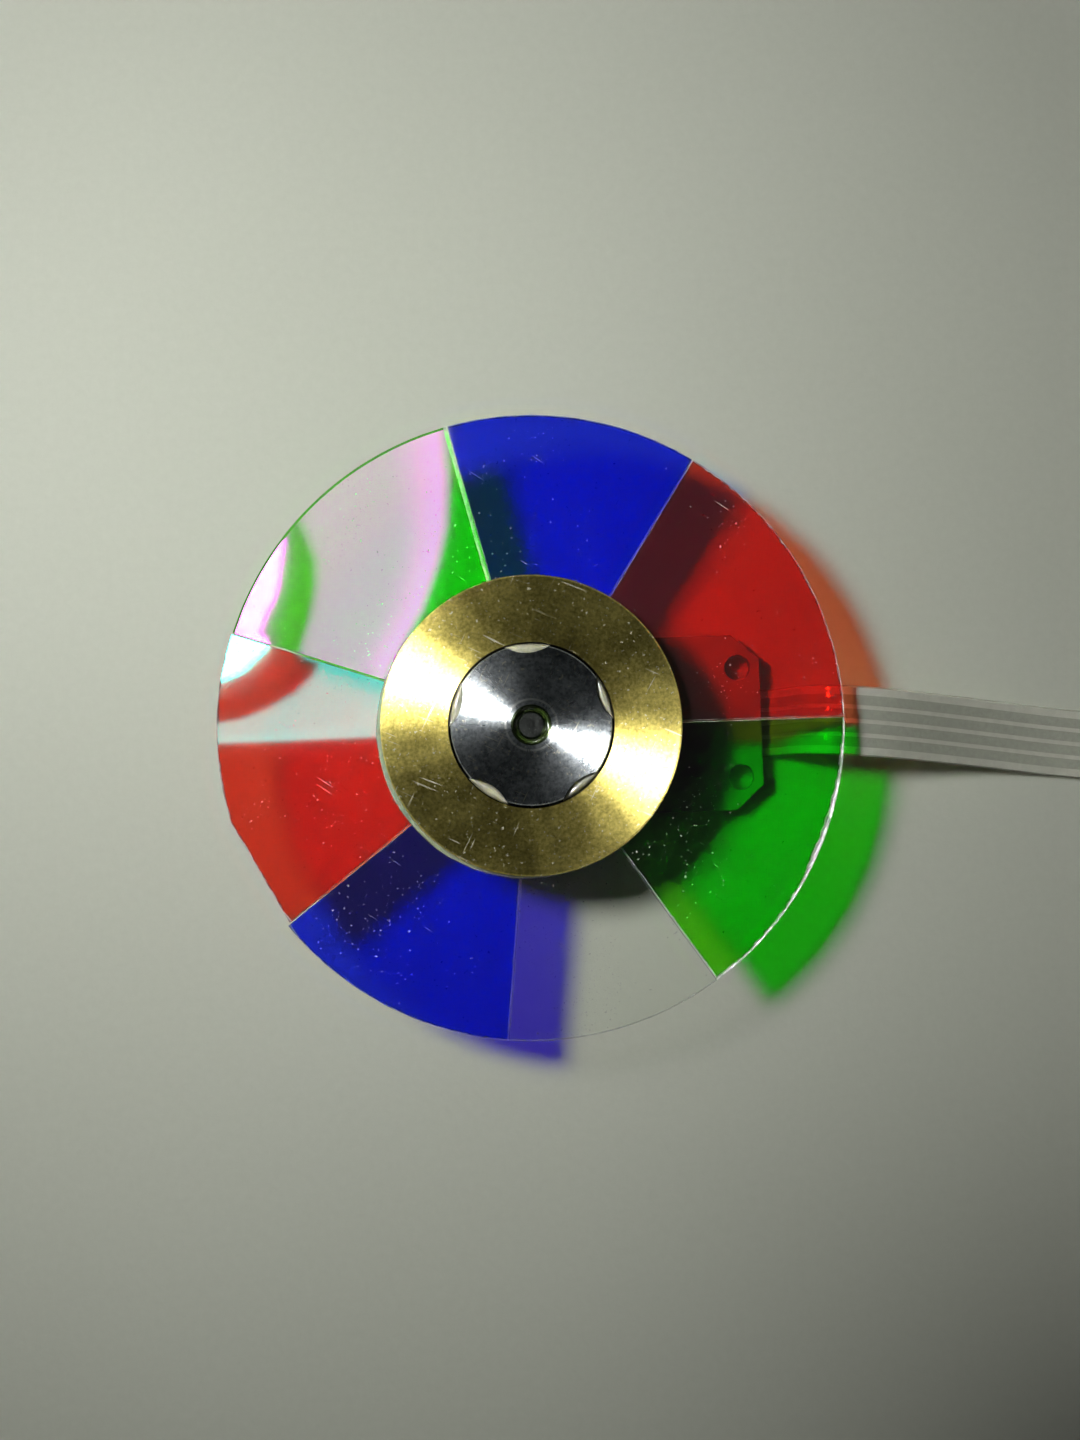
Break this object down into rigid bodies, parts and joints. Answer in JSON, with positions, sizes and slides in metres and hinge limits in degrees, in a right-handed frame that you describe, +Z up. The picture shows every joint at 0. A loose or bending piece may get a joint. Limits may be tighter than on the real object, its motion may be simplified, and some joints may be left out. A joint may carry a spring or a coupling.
{
  "type": "projector color wheel",
  "caption": "Spinning ring of coloured dichroic glass filters on the hub of a flat brushless motor, with a mounting plate and a flat cable.",
  "frame": {"origin": "on the spin axis, at the surface that the wheel stands on", "axes": "+Z up along the spin axis towards the glass, +X along the mounting plate's arm"},
  "size_m": [0.1052, 0.044, 0.0101],
  "materials": {
    "glass_red": "dichroic coated, polished",
    "glass_green": "dichroic coated, polished",
    "glass_blue": "dichroic coated, polished",
    "glass_clear": "anti-reflection coated, polished",
    "bond_adhesive": "cured clear adhesive",
    "ring_brass": "fine turned",
    "hub_aluminium": "fine turned",
    "balance_glue": "cured glue, glossy",
    "lock_glue": "cured glue, glossy",
    "shaft_steel": "ground",
    "washer_nylon": "moulded",
    "yoke_steel": "drawn and plated",
    "magnet": "bonded ferrite",
    "mark_black": "matt ink",
    "housing_brass": "turned",
    "bearing_bronze": "sintered, oiled",
    "thrust_plastic": "moulded",
    "core_steel": "laminated, varnished",
    "insulator_plastic": "moulded",
    "copper_wire": "enamelled",
    "circuit_film": "laminated film",
    "solder": "wetted, bright",
    "plate_steel": "stamped and plated",
    "cable_film": "laminated translucent film over flat conductors",
    "contact_tin": "tinned",
    "stiffener_film": "film"
  },
  "bodies": {
    "base": {"mounting_plate": "plate_steel", "bearing_housing": "housing_brass", "end_cap": "housing_brass", "thrust_plate": "thrust_plastic", "sleeve_bearing": "bearing_bronze", "stator_core": "core_steel", "insulator_upper": "insulator_plastic", "insulator_lower": "insulator_plastic", "stator_coil_1": "copper_wire", "stator_coil_2": "copper_wire", "stator_coil_3": "copper_wire", "stator_coil_4": "copper_wire", "stator_coil_5": "copper_wire", "stator_coil_6": "copper_wire", "stator_coil_7": "copper_wire", "stator_coil_8": "copper_wire", "stator_coil_9": "copper_wire", "coil_leads": "copper_wire", "lead_solder": "solder", "motor_circuit": "circuit_film", "flat_cable": "cable_film", "cable_solder": "solder", "cable_contacts": "contact_tin", "cable_stiffener": "stiffener_film"},
    "wheel": {"filter_red_a": "glass_red", "filter_blue_a": "glass_blue", "filter_green_b": "glass_green", "filter_red_b": "glass_red", "filter_blue_b": "glass_blue", "filter_clear": "glass_clear", "filter_green_a": "glass_green", "bond_film_lower": "bond_adhesive", "bond_film_upper": "bond_adhesive", "balance_ring": "ring_brass", "rotor_hub": "hub_aluminium", "glue_dab_1": "balance_glue", "glue_dab_2": "balance_glue", "glue_dab_3": "balance_glue", "glue_dab_4": "balance_glue", "glue_dab_5": "balance_glue", "shaft": "shaft_steel", "retaining_washer": "washer_nylon", "shaft_lock_glue": "lock_glue", "rotor_yoke": "yoke_steel", "magnet_ring": "magnet", "timing_mark": "mark_black"}
  },
  "joints": [
    {"name": "wheel_spin", "type": "hinge", "parent": "base", "child": "wheel", "pos_m": [0, 0, 0.005], "axis": [0, 0, 1], "continuous": true}
  ]
}
